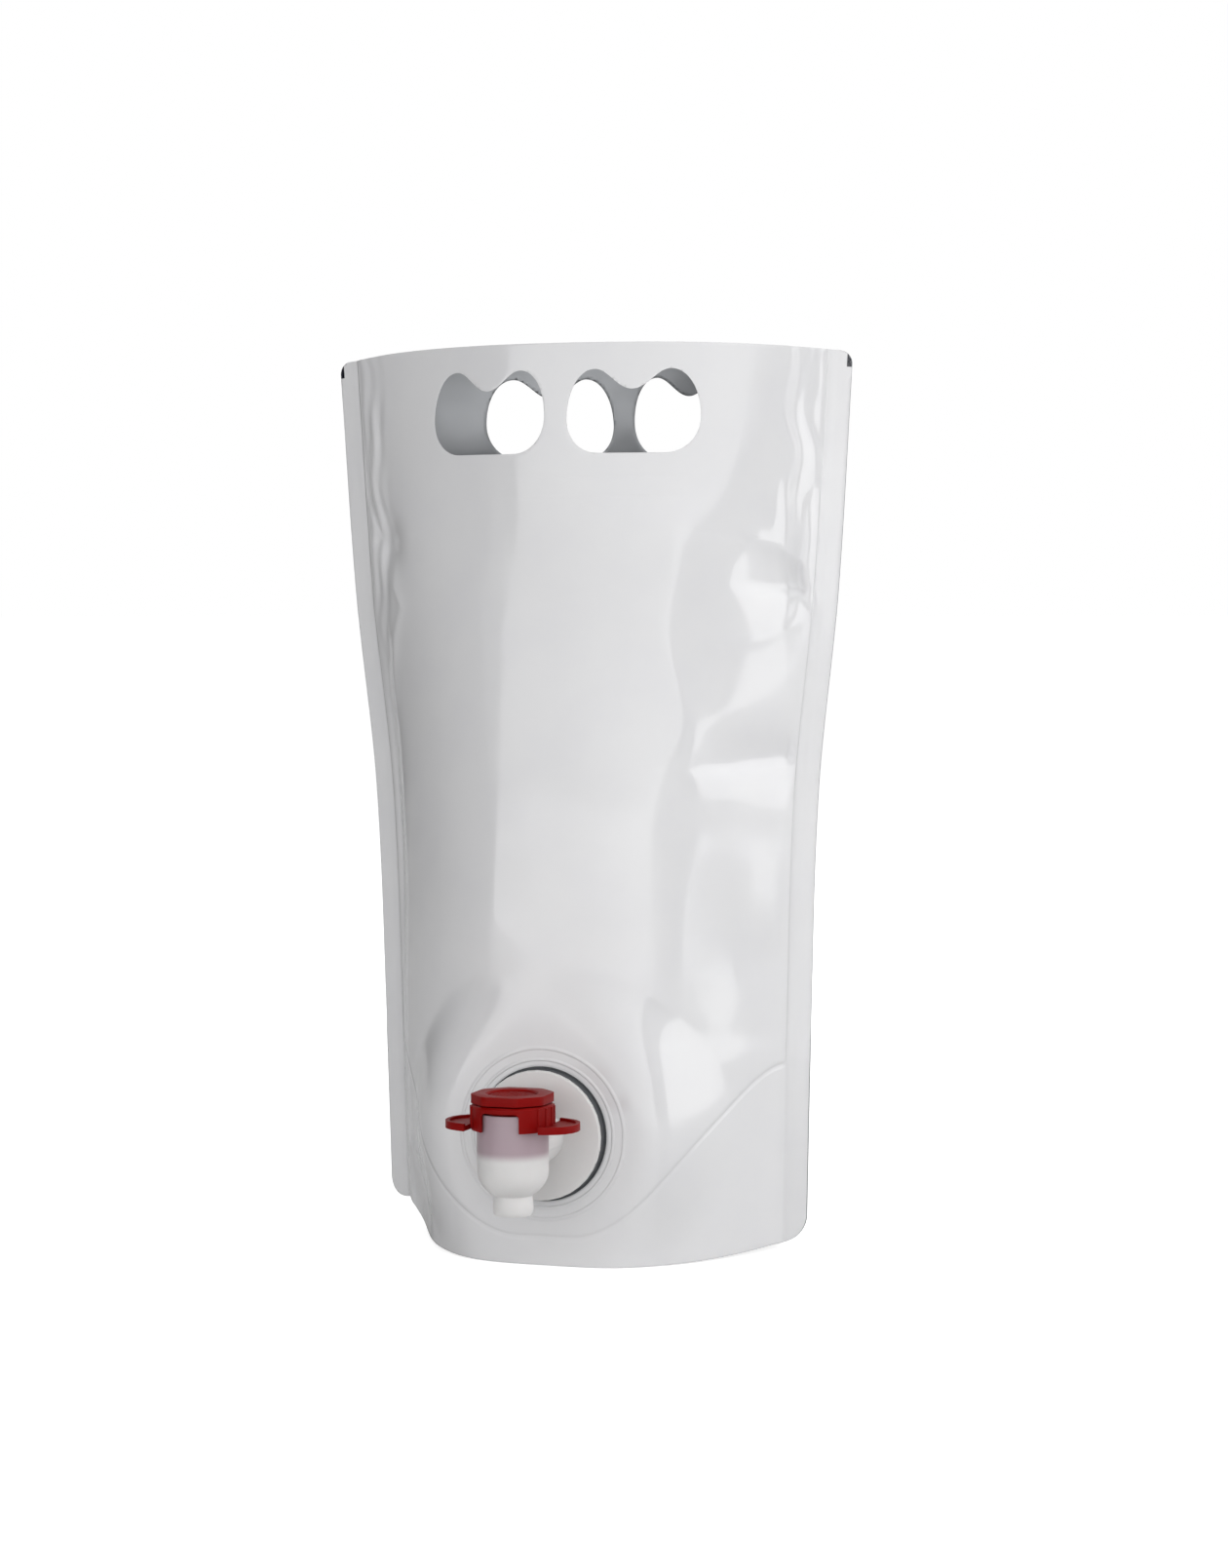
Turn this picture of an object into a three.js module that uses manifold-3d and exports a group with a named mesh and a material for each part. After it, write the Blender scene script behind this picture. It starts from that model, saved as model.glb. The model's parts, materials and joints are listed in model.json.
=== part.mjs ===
import * as THREE from 'three'
import { mergeVertices } from 'three/addons/utils/BufferGeometryUtils.js'
import Module from 'manifold-3d'

// A stand-up pouch with a press tap, standing open at the top. Millimetres, +Z up, front towards -Y.
// Three film webs are sealed together: two panels and a folded gusset. A gland is sealed behind
// the front panel, and the tap snaps into it.

// Film
const flatWidth = 180
const panelHeight = 275
const film = 0.2
const sideSeal = 7
const bottomSeal = 9
const gussetHeight = 57
const gussetArch = 12
const gussetGap = 0.5
const topCorner = 4
const bottomCorner = 9

// How far the pouch stands open: the share of the flat width that is left between the side
// edges, at shares of the height, and how square the bulge is at the bottom and the top
const openness = [
  { at: 0, share: 0.754 },
  { at: 0.25, share: 0.773 },
  { at: 0.51, share: 0.802 },
  { at: 0.73, share: 0.872 },
  { at: 1, share: 0.924 },
]
const bottomSquareness = 2.8
const topSquareness = 2
const leftCornerLift = 8
const rightCornerLift = 4

// Places where the film has buckled, on the front panel: across and up the flat web
const dents = [
  { across: 71, up: 206, depth: 5, wide: 9, tall: 11 },
  { across: 66, up: 149, depth: 6, wide: 15, tall: 7 },
  { across: 56, up: 92, depth: 3, wide: 9, tall: 22 },
  { across: -76, up: 128, depth: 3, wide: 6, tall: 46 },
  { across: -68, up: 216, depth: 3, wide: 7, tall: 8 },
  { across: -62, up: 4, depth: 6, wide: 14, tall: 17 },
]

// Hand holes, two through each panel
const holeWidth = 39
const holeHeight = 25
const holeFlat = 19
const holeDip = 6
const holeGap = 7
const holeFromTop = 8

// Gland
const glandHeight = 39.5
const flangeRadius = 25.5
const flangeThickness = 1.4
const filmHoleRadius = 20.2
const neckRadius = 19.6
const neckWall = 2.6
const neckProud = 2.4
const flatMargin = 5
const flatFade = 22

// Tap body
const clearance = 0.3
const discRadius = 19.5
const discThickness = 1.5
const plugWall = 1.5
const plugBead = 0.7
const reach = 21
const tubeRadius = 8.25
const tubeBore = 5
const ribThickness = 2
const ribDrop = 12.3
const barrelRadius = 10.5
const barrelWall = 1.3
const barrelTop = 10.2
const barrelStraight = 17
const bulbHeight = 7.4
const nozzleNeck = 5.7
const nozzleMouth = 5.95
const nozzleWall = 1.1
const nozzleLength = 5.8
const seatRadius = 3
const seatThickness = 1

// Red collar with wings, and the plate above it
const collarWall = 1.3
const collarLid = 2.3
const collarSkirt = 5.7
const frontCut = 11.6
const gripRib = 0.45
const gripRibs = 5
const wingSpan = 41
const wingDepth = 20
const wingThickness = 1.5
const wingRim = 1.2
const wingRimRise = 0.7
const plateWidth = 22.5
const plateThickness = 2.6
const plateCorner = 6
const plateSeam = 0.4
const plateNeckWall = 1.6

// Valve inside the barrel
const padDish = 1
const padThickness = 1.5
const padSkirt = 3.9
const padSink = 0.4
const stemRadius = 1.6
const stemHead = 3
const stemHeadThickness = 1.2
const sleeveWall = 1.2
const sleeveHeight = 9.1
const plugRadius = 3.9
const plugHeight = 2
const springRadius = 6.1
const springWire = 0.5
const springTurns = 4.5
const springLedge = 1.8

// Facets
const columns = 22
const lowRows = 10
const highRows = 14
const archSteps = 8
const coarse = 16
const round = 28
const fine = 36

const wasm = await Module()
wasm.setup()

// Booleans

function toSolid(geometry) {
  const bare = geometry.index ? geometry.toNonIndexed() : geometry.clone()
  bare.deleteAttribute('normal')
  bare.deleteAttribute('uv')
  const merged = mergeVertices(bare, 1e-5)
  const kept = []
  const index = merged.index.array
  for (let i = 0; i < index.length; i += 3) {
    const [a, b, c] = index.slice(i, i + 3)
    if (a !== b && b !== c && c !== a) kept.push(a, b, c)
  }
  const vertProperties = new Float32Array(merged.attributes.position.array)
  return new wasm.Manifold(new wasm.Mesh({ numProp: 3, vertProperties, triVerts: new Uint32Array(kept) }))
}

function toGeometry(solid) {
  const { vertProperties, triVerts } = solid.getMesh()
  const geometry = new THREE.BufferGeometry()
  geometry.setAttribute('position', new THREE.BufferAttribute(vertProperties, 3))
  geometry.setIndex(new THREE.BufferAttribute(triVerts, 1))
  geometry.computeVertexNormals()
  return geometry
}

const unite = (...solids) => solids.reduce((whole, next) => whole.add(next))
const cut = (solid, ...tools) => tools.reduce((left, tool) => left.subtract(tool), solid)

// Solid makers

// A profile of [radius, height] points turned about the Z axis; it closes on itself or on the axis.
// A profile that runs clockwise on the page is turned round first, so that its faces point out.
function turned(profile, segments = round) {
  const closed = profile[0][0] === 0 ? profile : [...profile, profile[0]]
  const area = profile.reduce((sum, [r, h], i) => {
    const [nextR, nextH] = profile[(i + 1) % profile.length]
    return sum + r * nextH - nextR * h
  }, 0)
  const points = closed.map(([r, h]) => new THREE.Vector2(r, h))
  const lathe = new THREE.LatheGeometry(area < 0 ? points.reverse() : points, segments)
  return toSolid(lathe.rotateX(Math.PI / 2))
}

// The same, turned about the Y axis, with heights measured towards the front
const turnedForward = (profile, segments) => turned(profile, segments).rotate([90, 0, 0])

// A drawn outline in X and Y, pulled up from one height to another
function raised(shape, from, to, curveSegments = 6) {
  const geometry = new THREE.ExtrudeGeometry(shape, { depth: to - from, bevelEnabled: false, curveSegments })
  return toSolid(geometry.translate(0, 0, from))
}

// The same outline drawn in X and Z, pulled along Y
const raisedBack = (shape, from, to) => raised(shape, -to, -from).rotate([90, 0, 0])

const rod = (radius, from, to, segments = round) =>
  turned([[0, from], [radius, from], [radius, to], [0, to]], segments)

const rodForward = (radius, from, to, segments = round) =>
  turnedForward([[0, from], [radius, from], [radius, to], [0, to]], segments)

function block(x0, x1, y0, y1, z0, z1) {
  const box = new THREE.BoxGeometry(x1 - x0, y1 - y0, z1 - z0)
  return toSolid(box.translate((x0 + x1) / 2, (y0 + y1) / 2, (z0 + z1) / 2))
}

// A thin closed sheet between two grids of points, each a function of the same two lists
function sheet(outer, inner, across, along) {
  const wide = across.length
  const tall = along.length
  const points = []
  for (const face of [outer, inner]) {
    for (const v of along) {
      for (const u of across) points.push(face(u, v))
    }
  }
  const at = (side, i, j) => side * wide * tall + j * wide + i
  const index = []
  const quad = (a, b, c, d) => index.push(a, b, c, a, c, d)
  for (let j = 0; j + 1 < tall; j++) {
    for (let i = 0; i + 1 < wide; i++) {
      quad(at(0, i, j), at(0, i + 1, j), at(0, i + 1, j + 1), at(0, i, j + 1))
      quad(at(1, i, j), at(1, i, j + 1), at(1, i + 1, j + 1), at(1, i + 1, j))
    }
  }
  for (let i = 0; i + 1 < wide; i++) {
    quad(at(1, i, 0), at(1, i + 1, 0), at(0, i + 1, 0), at(0, i, 0))
    quad(at(0, i, tall - 1), at(0, i + 1, tall - 1), at(1, i + 1, tall - 1), at(1, i, tall - 1))
  }
  for (let j = 0; j + 1 < tall; j++) {
    quad(at(1, 0, j), at(0, 0, j), at(0, 0, j + 1), at(1, 0, j + 1))
    quad(at(0, wide - 1, j), at(1, wide - 1, j), at(1, wide - 1, j + 1), at(0, wide - 1, j + 1))
  }
  const geometry = new THREE.BufferGeometry().setFromPoints(points)
  geometry.setIndex(index)
  return toSolid(geometry)
}

// Film surfaces

const freeWidth = flatWidth - 2 * sideSeal
const sealLine = freeWidth / 2
const smooth = THREE.MathUtils.smoothstep

// The half-width between the side edges, a smooth run through the openness points
function seamHalfWidth(up) {
  const at = THREE.MathUtils.clamp(up / panelHeight, 0, 1)
  const last = openness.length - 2
  const i = Math.min(last, openness.findLastIndex((point) => point.at <= at))
  const slope = (k) => {
    const before = openness[Math.max(0, k - 1)]
    const after = openness[Math.min(openness.length - 1, k + 1)]
    return (after.share - before.share) / (after.at - before.at)
  }
  const { at: at0, share: share0 } = openness[i]
  const { at: at1, share: share1 } = openness[i + 1]
  const step = at1 - at0
  const t = (at - at0) / step
  const h = t * t * (3 - 2 * t)
  const ends = share0 * (1 - h) + share1 * h
  const leave = step * t * (1 - t) * (slope(i) * (1 - t) - slope(i + 1) * t)
  return (ends + leave) * (flatWidth / 2)
}

// The section of a panel at one height: y = bulge * (1 - |x / half|^squareness), with the bulge
// found so that the curve is as long as the film that it is made of
const sections = new Map()
function sectionAt(up) {
  if (sections.has(up)) return sections.get(up)
  const half = seamHalfWidth(up) - sideSeal
  const squareness = THREE.MathUtils.lerp(bottomSquareness, topSquareness, smooth(up, 0, panelHeight))
  const steps = 60
  const trace = (bulge) => {
    const run = [{ x: 0, y: bulge, length: 0 }]
    for (let i = 1; i <= steps; i++) {
      const x = (half * i) / steps
      const y = bulge * (1 - (i / steps) ** squareness)
      const before = run[i - 1]
      run.push({ x, y, length: before.length + Math.hypot(x - before.x, y - before.y) })
    }
    return run
  }
  let low = 0
  let high = freeWidth / 2
  for (let i = 0; i < 30; i++) {
    const middle = (low + high) / 2
    if (trace(middle)[steps].length < sealLine) low = middle
    else high = middle
  }
  const section = { half, run: trace(high) }
  sections.set(up, section)
  return section
}

function sectionPoint(up, across) {
  const { half, run } = sectionAt(up)
  const distance = Math.abs(across)
  const side = Math.sign(across)
  if (distance >= sealLine) return [side * (half + distance - sealLine), 0]
  const i = Math.max(1, run.findIndex((point) => point.length > distance))
  const a = run[i - 1]
  const b = run[i]
  const t = (distance - a.length) / (b.length - a.length)
  return [side * THREE.MathUtils.lerp(a.x, b.x, t), THREE.MathUtils.lerp(a.y, b.y, t)]
}

// The side edges hold two plies of film, and four where the gusset is folded in between
function seamStack(up) {
  const panelOnly = clearance / 2 + film
  return panelOnly + (film + gussetGap) * (1 - smooth(up, gussetHeight + film, gussetHeight + 12))
}

function cornerLift(across, up) {
  const share = Math.abs(across) / (flatWidth / 2)
  const lift = across < 0 ? leftCornerLift : rightCornerLift
  return lift * share ** 4 * Math.exp(-up / (gussetHeight * 0.7))
}

const glandPlane = sectionAt(glandHeight).run[0].y + seamStack(glandHeight) - 0.5

// The outer face of a panel; side is -1 for the front and 1 for the back
function panelFace(side, across, up) {
  const [x, bulge] = sectionPoint(up, across)
  const z = up + cornerLift(across, up)
  let out = bulge + seamStack(up)
  if (side < 0) {
    for (const dent of dents) {
      const far = ((across - dent.across) / dent.wide) ** 2 + ((up - dent.up) / dent.tall) ** 2
      out -= Math.min(dent.depth, bulge * 0.6) * Math.exp(-far)
    }
    const distance = Math.hypot(x, z - glandHeight)
    const flat = flangeRadius + flatMargin
    out = THREE.MathUtils.lerp(glandPlane, out, smooth(distance, flat, flat + flatFade))
  }
  return new THREE.Vector3(x, side * out, z)
}

// A point some depth behind the outer face, measured square to it
function panelPoint(side, across, up, depth) {
  const step = 1
  const right = panelFace(side, across + step, up).sub(panelFace(side, across - step, up))
  const above = panelFace(side, across, up + step).sub(panelFace(side, across, up - step))
  const normal = right.cross(above).normalize().multiplyScalar(-side)
  return panelFace(side, across, up).addScaledVector(normal, -depth)
}

// Columns across the flat web, with one along each side seal
const range = (from, to, count) => Array.from({ length: count + 1 }, (_, i) => from + ((to - from) * i) / count)
const across = [-flatWidth / 2, ...range(-sealLine, sealLine, columns), flatWidth / 2]
const lowTop = gussetHeight + 12
const ups = [...range(0, lowTop, lowRows), ...range(lowTop, panelHeight, highRows).slice(1)]

function panel(side) {
  const outer = (u, v) => panelPoint(side, -side * u, v, 0)
  const inner = (u, v) => panelPoint(side, -side * u, v, film)
  return sheet(outer, inner, across, ups)
}

// The curved seal between gusset and panel: low in the middle, rising to the fold at the sides
function sealTop(u) {
  return bottomSeal + (gussetHeight - bottomSeal) * smooth(Math.abs(u) / sealLine, 0.1, 1)
}

// A point behind a facet of the panel, so that the gusset lies flat against it
function facetPoint(side, u, up, depth) {
  const i = Math.max(1, ups.findIndex((row) => row >= up))
  const share = (up - ups[i - 1]) / (ups[i] - ups[i - 1])
  return panelPoint(side, u, ups[i - 1], depth).lerp(panelPoint(side, u, ups[i], depth), share)
}

// The gusset climbs the front panel to the seal, arches over to the back panel and goes down it;
// a place on it is a height on one of the legs, or a share t of the arch from -1 to 1
function gussetTop(u, place) {
  const depth = film + gussetGap
  const top = sealTop(u)
  if (place.side) return facetPoint(place.side, u, Math.min(place.up, top), depth)
  const front = facetPoint(-1, u, top, depth)
  const back = facetPoint(1, u, top, depth)
  const rise = 2 * film + gussetArch * (1 - smooth(Math.abs(u), sealLine / 3, sealLine))
  return front.lerp(back, (place.t + 1) / 2).add(new THREE.Vector3(0, 0, rise * (1 - place.t ** 2)))
}

// The drop from the gusset's upper face to its lower one, more where the seal climbs steeply
function gussetDrop(u) {
  const step = 1
  const before = gussetTop(u - step, { t: 0 })
  const after = gussetTop(u + step, { t: 0 })
  const climb = (after.z - before.z) / Math.max(after.x - before.x, step / 2)
  return film * Math.hypot(1, climb)
}

function gussetUnder(u, place) {
  const drop = gussetDrop(u)
  const depth = 2 * film + gussetGap
  const top = sealTop(u) - drop
  if (place.side) return facetPoint(place.side, u, Math.min(place.up, top), depth)
  const span = gussetTop(u, { t: 1 }).y
  const point = gussetTop(u, place)
  point.y *= 1 - film / span
  point.z -= drop
  return point
}

function gusset() {
  const legUps = [...ups.filter((up) => up < gussetHeight), gussetHeight]
  const front = legUps.map((up) => ({ side: -1, up }))
  const arch = range(-1, 1, archSteps).slice(1, -1).map((t) => ({ t }))
  const back = legUps.map((up) => ({ side: 1, up })).reverse()
  return sheet(gussetTop, gussetUnder, across, [...front, ...arch, ...back])
}

// Cutters for the film

// A hand hole: flat below, round at the ends, with two finger lobes above
function handHoleShape() {
  const half = holeWidth / 2
  const belly = holeHeight * 0.43
  const lobe = half * 0.57
  const shape = new THREE.Shape()
  shape.moveTo(-holeFlat / 2, 0)
  shape.lineTo(holeFlat / 2, 0)
  shape.bezierCurveTo(half * 0.8, 0, half, belly * 0.45, half, belly)
  shape.bezierCurveTo(half, holeHeight * 0.75, half * 0.82, holeHeight, lobe, holeHeight)
  shape.bezierCurveTo(lobe * 0.65, holeHeight, lobe * 0.4, holeHeight - holeDip, 0, holeHeight - holeDip)
  shape.bezierCurveTo(-lobe * 0.4, holeHeight - holeDip, -lobe * 0.65, holeHeight, -lobe, holeHeight)
  shape.bezierCurveTo(-half * 0.82, holeHeight, -half, holeHeight * 0.75, -half, belly)
  shape.bezierCurveTo(-half, belly * 0.45, -half * 0.8, 0, -holeFlat / 2, 0)
  return shape
}

function handHole(side) {
  const z = panelHeight - holeFromTop - holeHeight
  const x = (side * (holeWidth + holeGap)) / 2
  return raisedBack(handHoleShape(), -flatWidth / 2, flatWidth / 2).translate([x, 0, z])
}

// What a rounded corner takes away, for a corner that points to +X and +Z
function cornerCutter(radius) {
  const beyond = flatWidth / 8
  const shape = new THREE.Shape()
  shape.moveTo(0, -radius)
  shape.absarc(-radius, -radius, radius, 0, Math.PI / 2, false)
  shape.lineTo(-radius, beyond)
  shape.lineTo(beyond, beyond)
  shape.lineTo(beyond, -radius)
  return raisedBack(shape, -2 * radius, 2 * radius)
}

function cornerCutters() {
  const half = flatWidth / 2
  const cutters = []
  for (const side of [-1, 1]) {
    const top = panelFace(1, side * half, panelHeight)
    const bottom = panelFace(1, side * half, 0)
    const upper = cornerCutter(topCorner).scale([side, 1, 1])
    const lower = cornerCutter(bottomCorner).scale([side, 1, -1])
    cutters.push(upper.translate([top.x, 0, top.z]), lower.translate([bottom.x, 0, bottom.z]))
  }
  return cutters
}

const holes = [handHole(-1), handHole(1)]
const corners = cornerCutters()
const glandHole = rodForward(filmHoleRadius, 0, flatWidth, fine).translate([0, 0, glandHeight])

// Gland and tap, drawn with the gland's axis along Y through the origin, and the outer face of
// the film at y = 0. Distances towards the front count up.

const flangeFront = -film - clearance
const flangeBack = flangeFront - flangeThickness
const neckBore = neckRadius - neckWall
const discBack = neckProud + clearance
const discFront = discBack + discThickness
const barrelForward = discFront + reach

function gland() {
  return turnedForward([
    [neckBore, flangeBack],
    [flangeRadius - 0.5, flangeBack],
    [flangeRadius, flangeBack + 0.4],
    [flangeRadius, flangeFront],
    [neckRadius, flangeFront],
    [neckRadius, neckProud],
    [neckBore, neckProud],
  ], fine)
}

// Heights in the barrel, from the swivel axis
const bulbTop = barrelTop - barrelStraight
const nozzleTop = bulbTop - bulbHeight
const nozzleEnd = nozzleTop - nozzleLength
const barrelBore = barrelRadius - barrelWall
const nozzleBore = nozzleNeck - nozzleWall
const seatTop = nozzleTop + seatThickness + 0.2
const seatBottom = seatTop - seatThickness
const ledgeInner = springRadius - springLedge / 2
const ledgeOuter = springRadius + springLedge / 2
const ledge = bulbTop - bulbHeight * 0.33

function bezierRun(points, count) {
  const [a, b, c, d] = points.map(([r, h]) => new THREE.Vector2(r, h))
  return new THREE.CubicBezierCurve(a, b, c, d).getPoints(count).map((point) => [point.x, point.y])
}

function barrelOuter() {
  const bulb = bezierRun([
    [barrelRadius, bulbTop],
    [barrelRadius, bulbTop - bulbHeight * 0.5],
    [nozzleNeck + 2.4, nozzleTop + bulbHeight * 0.22],
    [nozzleNeck, nozzleTop],
  ], 7)
  return turned([
    [0, barrelTop],
    [barrelRadius, barrelTop],
    ...bulb,
    [nozzleNeck, nozzleTop - 0.8],
    [nozzleMouth, nozzleTop - 2.6],
    [nozzleMouth, nozzleEnd + 1.4],
    [nozzleMouth - 0.2, nozzleEnd + 0.5],
    [nozzleMouth - 0.6, nozzleEnd],
    [0, nozzleEnd],
  ], fine)
}

function barrelInner() {
  return turned([
    [0, barrelTop + 1],
    [barrelBore, barrelTop + 1],
    [barrelBore, bulbTop],
    [ledgeOuter, ledge + 0.8],
    [ledgeOuter, ledge],
    [ledgeInner, ledge],
    [seatRadius, seatTop],
    [seatRadius, seatBottom],
    [nozzleBore, seatBottom],
    [nozzleBore, nozzleEnd - 1],
    [0, nozzleEnd - 1],
  ])
}

function snapPlug() {
  const outer = neckBore - clearance
  const behind = flangeBack - clearance
  const end = behind - 2 * plugBead
  return turnedForward([
    [0, discFront],
    [discRadius - 0.3, discFront],
    [discRadius, discFront - 0.3],
    [discRadius, discBack],
    [outer, discBack],
    [outer, behind],
    [outer + plugBead, behind - plugBead],
    [outer, end],
    [outer - plugWall, end],
    [outer - plugWall, discBack],
    [0, discBack],
  ], fine)
}

function tapBody() {
  const axis = [0, -barrelForward, 0]
  const tube = rodForward(tubeRadius, discBack, barrelForward)
  const rib = block(-ribThickness / 2, ribThickness / 2, -barrelForward, -discBack, -ribDrop, 0)
  const passage = rodForward(tubeBore, discBack - 1, barrelForward)
  const outside = unite(snapPlug(), tube, rib, barrelOuter().translate(axis))
  return cut(outside, barrelInner().translate(axis), passage)
}

// The red parts and the valve, drawn with the barrel's axis along Z through the origin

const collarBore = barrelRadius + clearance
const collarRadius = collarBore + collarWall
const lidBottom = barrelTop + clearance
const collarTop = lidBottom + collarLid
const cutTop = collarTop - 1.7
const collarBottom = cutTop - collarSkirt
const plateBottom = collarTop + plateSeam
const plateTop = plateBottom + plateThickness
const plateNeck = barrelBore - clearance
const plateBore = plateNeck - plateNeckWall
const padRadius = plateBore - clearance
const padTop = plateTop - padSink
const sleeveRadius = barrelBore - clearance
const sleeveBottom = cutTop - 13.2
const sleeveTop = sleeveBottom + sleeveHeight
const plateNeckBottom = sleeveTop + clearance
const webBottom = sleeveTop - sleeveWall

// Half of a wing's outline, from the root to the tip and back; inset draws it smaller all round
function wingShape(inset) {
  const tip = wingSpan / 2 - inset
  const depth = wingDepth / 2 - inset
  const root = collarBore + 0.6
  const shape = new THREE.Shape()
  shape.moveTo(root, -depth)
  shape.bezierCurveTo(tip * 0.72, -depth, tip, -depth * 0.75, tip, -depth * 0.1)
  shape.bezierCurveTo(tip, depth * 0.6, tip * 0.8, depth * 0.85, root, depth)
  return shape
}

function wing() {
  const top = collarBottom + wingThickness
  const leaf = raised(wingShape(0), collarBottom, top + wingRimRise)
  return cut(leaf, raised(wingShape(wingRim), top, top + 2 * wingRimRise))
}

// Finger ribs up the side of the collar, above the wing
function ribs() {
  const spread = THREE.MathUtils.degToRad(62)
  const from = collarBottom + wingThickness / 2
  return range(-spread / 2, spread / 2, gripRibs - 1).map((angle) => {
    const place = [collarRadius * Math.cos(angle), collarRadius * Math.sin(angle), 0]
    return rod(gripRib, from, collarTop - 0.6, 8).translate(place)
  })
}

function wingCollar() {
  const ring = turned([
    [barrelBore, lidBottom],
    [collarBore, lidBottom],
    [collarBore, collarBottom],
    [collarRadius, collarBottom],
    [collarRadius, collarTop - 0.5],
    [collarRadius - 0.5, collarTop],
    [barrelBore, collarTop],
  ], fine)
  const side = unite(wing(), ...ribs())
  const window = new THREE.Shape()
  const half = frontCut / 2
  const corner = 1.4
  window.moveTo(-half, collarBottom - 1)
  window.lineTo(half, collarBottom - 1)
  window.lineTo(half, cutTop - corner)
  window.absarc(half - corner, cutTop - corner, corner, 0, Math.PI / 2, false)
  window.absarc(-half + corner, cutTop - corner, corner, Math.PI / 2, Math.PI, false)
  const front = raisedBack(window, -2 * collarRadius, 0)
  const saddle = rodForward(tubeRadius + clearance, -2 * collarRadius, 0)
  const bore = rod(collarBore, collarBottom - 1, lidBottom, fine)
  return cut(unite(ring, side, side.rotate([0, 0, 180])), front, saddle, bore)
}

// The plate: a square with its corners cut and rounded
function plateShape() {
  const half = plateWidth / 2
  const start = half - plateCorner
  const soft = 1.4
  const shape = new THREE.Shape()
  for (let i = 0; i < 4; i++) {
    const turn = (x, y) => new THREE.Vector2(x, y).rotateAround(new THREE.Vector2(), (i * Math.PI) / 2)
    const corners = [[start - soft, -half, start, -half], [half, -start, half, -start + soft]]
    const [first, second] = corners
    const enter = turn(first[0], first[1])
    if (i === 0) shape.moveTo(enter.x, enter.y)
    else shape.lineTo(enter.x, enter.y)
    const bend = turn(first[2], first[3])
    const leave = turn(start + soft * 0.7, -half + soft * 0.7)
    shape.quadraticCurveTo(bend.x, bend.y, leave.x, leave.y)
    const next = turn(half - soft * 0.7, -start - soft * 0.7)
    shape.lineTo(next.x, next.y)
    const turnPoint = turn(second[0], second[1])
    const end = turn(second[2], second[3])
    shape.quadraticCurveTo(turnPoint.x, turnPoint.y, end.x, end.y)
  }
  return shape
}

function bezelPlate() {
  const plate = raised(plateShape(), plateBottom, plateTop, 4)
  const neck = rod(plateNeck, plateNeckBottom, plateBottom + 1)
  const lip = turned([
    [plateBore, plateTop - 0.5],
    [plateBore + 1.2, plateTop + 0.5],
    [0, plateTop + 0.5],
    [0, plateTop - 0.5],
  ])
  return cut(unite(plate, neck), rod(plateBore, plateNeckBottom - 1, plateTop), lip)
}

const padMiddle = padTop - padDish
const headTop = padMiddle - padThickness - clearance

function pressPad() {
  const underside = padMiddle - padThickness
  const dish = range(0, padRadius - 0.5, 5).map((r) => [r, padTop - padDish * (1 - (r / padRadius) ** 2)])
  return turned([
    ...dish,
    [padRadius, padTop - 0.3],
    [padRadius, padTop - padSkirt],
    [padRadius - 1, padTop - padSkirt],
    [padRadius - 1, underside],
    [0, underside],
  ])
}

const plugTop = seatBottom - clearance
const plugBottom = plugTop - plugHeight
const tailRadius = stemRadius * 0.75
const tailEnd = plugBottom + 0.6

function valveStem() {
  return turned([
    [0, headTop],
    [stemHead, headTop],
    [stemHead, headTop - stemHeadThickness],
    [stemRadius, headTop - 2 * stemHeadThickness],
    [stemRadius, plugTop + clearance],
    [tailRadius, plugTop + clearance],
    [tailRadius, tailEnd],
    [0, tailEnd],
  ], coarse)
}

function valvePlug() {
  const pocket = tailRadius + clearance
  return turned([
    [pocket, plugTop],
    [plugRadius - 0.6, plugTop],
    [plugRadius, plugTop - 0.6],
    [plugRadius - 0.4, plugBottom],
    [0, plugBottom],
    [0, tailEnd - clearance],
    [pocket, tailEnd - clearance],
  ], coarse)
}

// A cup upside down, with a slot towards the inlet and flow holes through its web
function valveSleeve() {
  const inner = sleeveRadius - sleeveWall
  const hub = stemRadius + clearance
  const cup = turned([
    [hub, sleeveTop],
    [sleeveRadius, sleeveTop],
    [sleeveRadius, sleeveBottom],
    [inner, sleeveBottom],
    [inner, webBottom],
    [hub, webBottom],
  ])
  const slotTop = webBottom - 0.4
  const slot = block(-tubeBore, tubeBore, 0, 2 * sleeveRadius, sleeveBottom - 1, slotTop)
  const flow = range(0, Math.PI, 2).slice(0, 2).flatMap((angle) => [angle, angle + Math.PI]).map((angle) => {
    const middle = (hub + inner) / 2
    const place = [middle * Math.cos(angle), middle * Math.sin(angle), 0]
    return rod(1.4, webBottom - 1, sleeveTop + 1, 10).translate(place)
  })
  return cut(cup, slot, ...flow)
}

class Helix extends THREE.Curve {
  constructor(radius, from, to, turns) {
    super()
    Object.assign(this, { radius, from, to, turns })
  }
  getPoint(t, target = new THREE.Vector3()) {
    const angle = t * this.turns * 2 * Math.PI
    const z = THREE.MathUtils.lerp(this.from, this.to, t)
    return target.set(this.radius * Math.cos(angle), this.radius * Math.sin(angle), z)
  }
}

function returnSpring() {
  const from = ledge + clearance + springWire
  const to = webBottom - clearance - springWire
  const wire = new THREE.Shape().absarc(0, 0, springWire, 0, 2 * Math.PI)
  return toSolid(new THREE.ExtrudeGeometry(wire, {
    extrudePath: new Helix(springRadius, from, to, springTurns),
    steps: Math.round(springTurns * 12),
    curveSegments: 3,
    bevelEnabled: false,
  }))
}

// Materials

const finish = (color, roughness, metalness = 0) => new THREE.MeshStandardMaterial({ color, roughness, metalness })
const whiteFilm = () => finish('#dcdcde', 0.28)
const redPlastic = () => finish('#8e100c', 0.42)

function place(group, name, solid, material) {
  const mesh = new THREE.Mesh(toGeometry(solid), material)
  mesh.name = name
  group.add(mesh)
}

// Assembly

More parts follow.
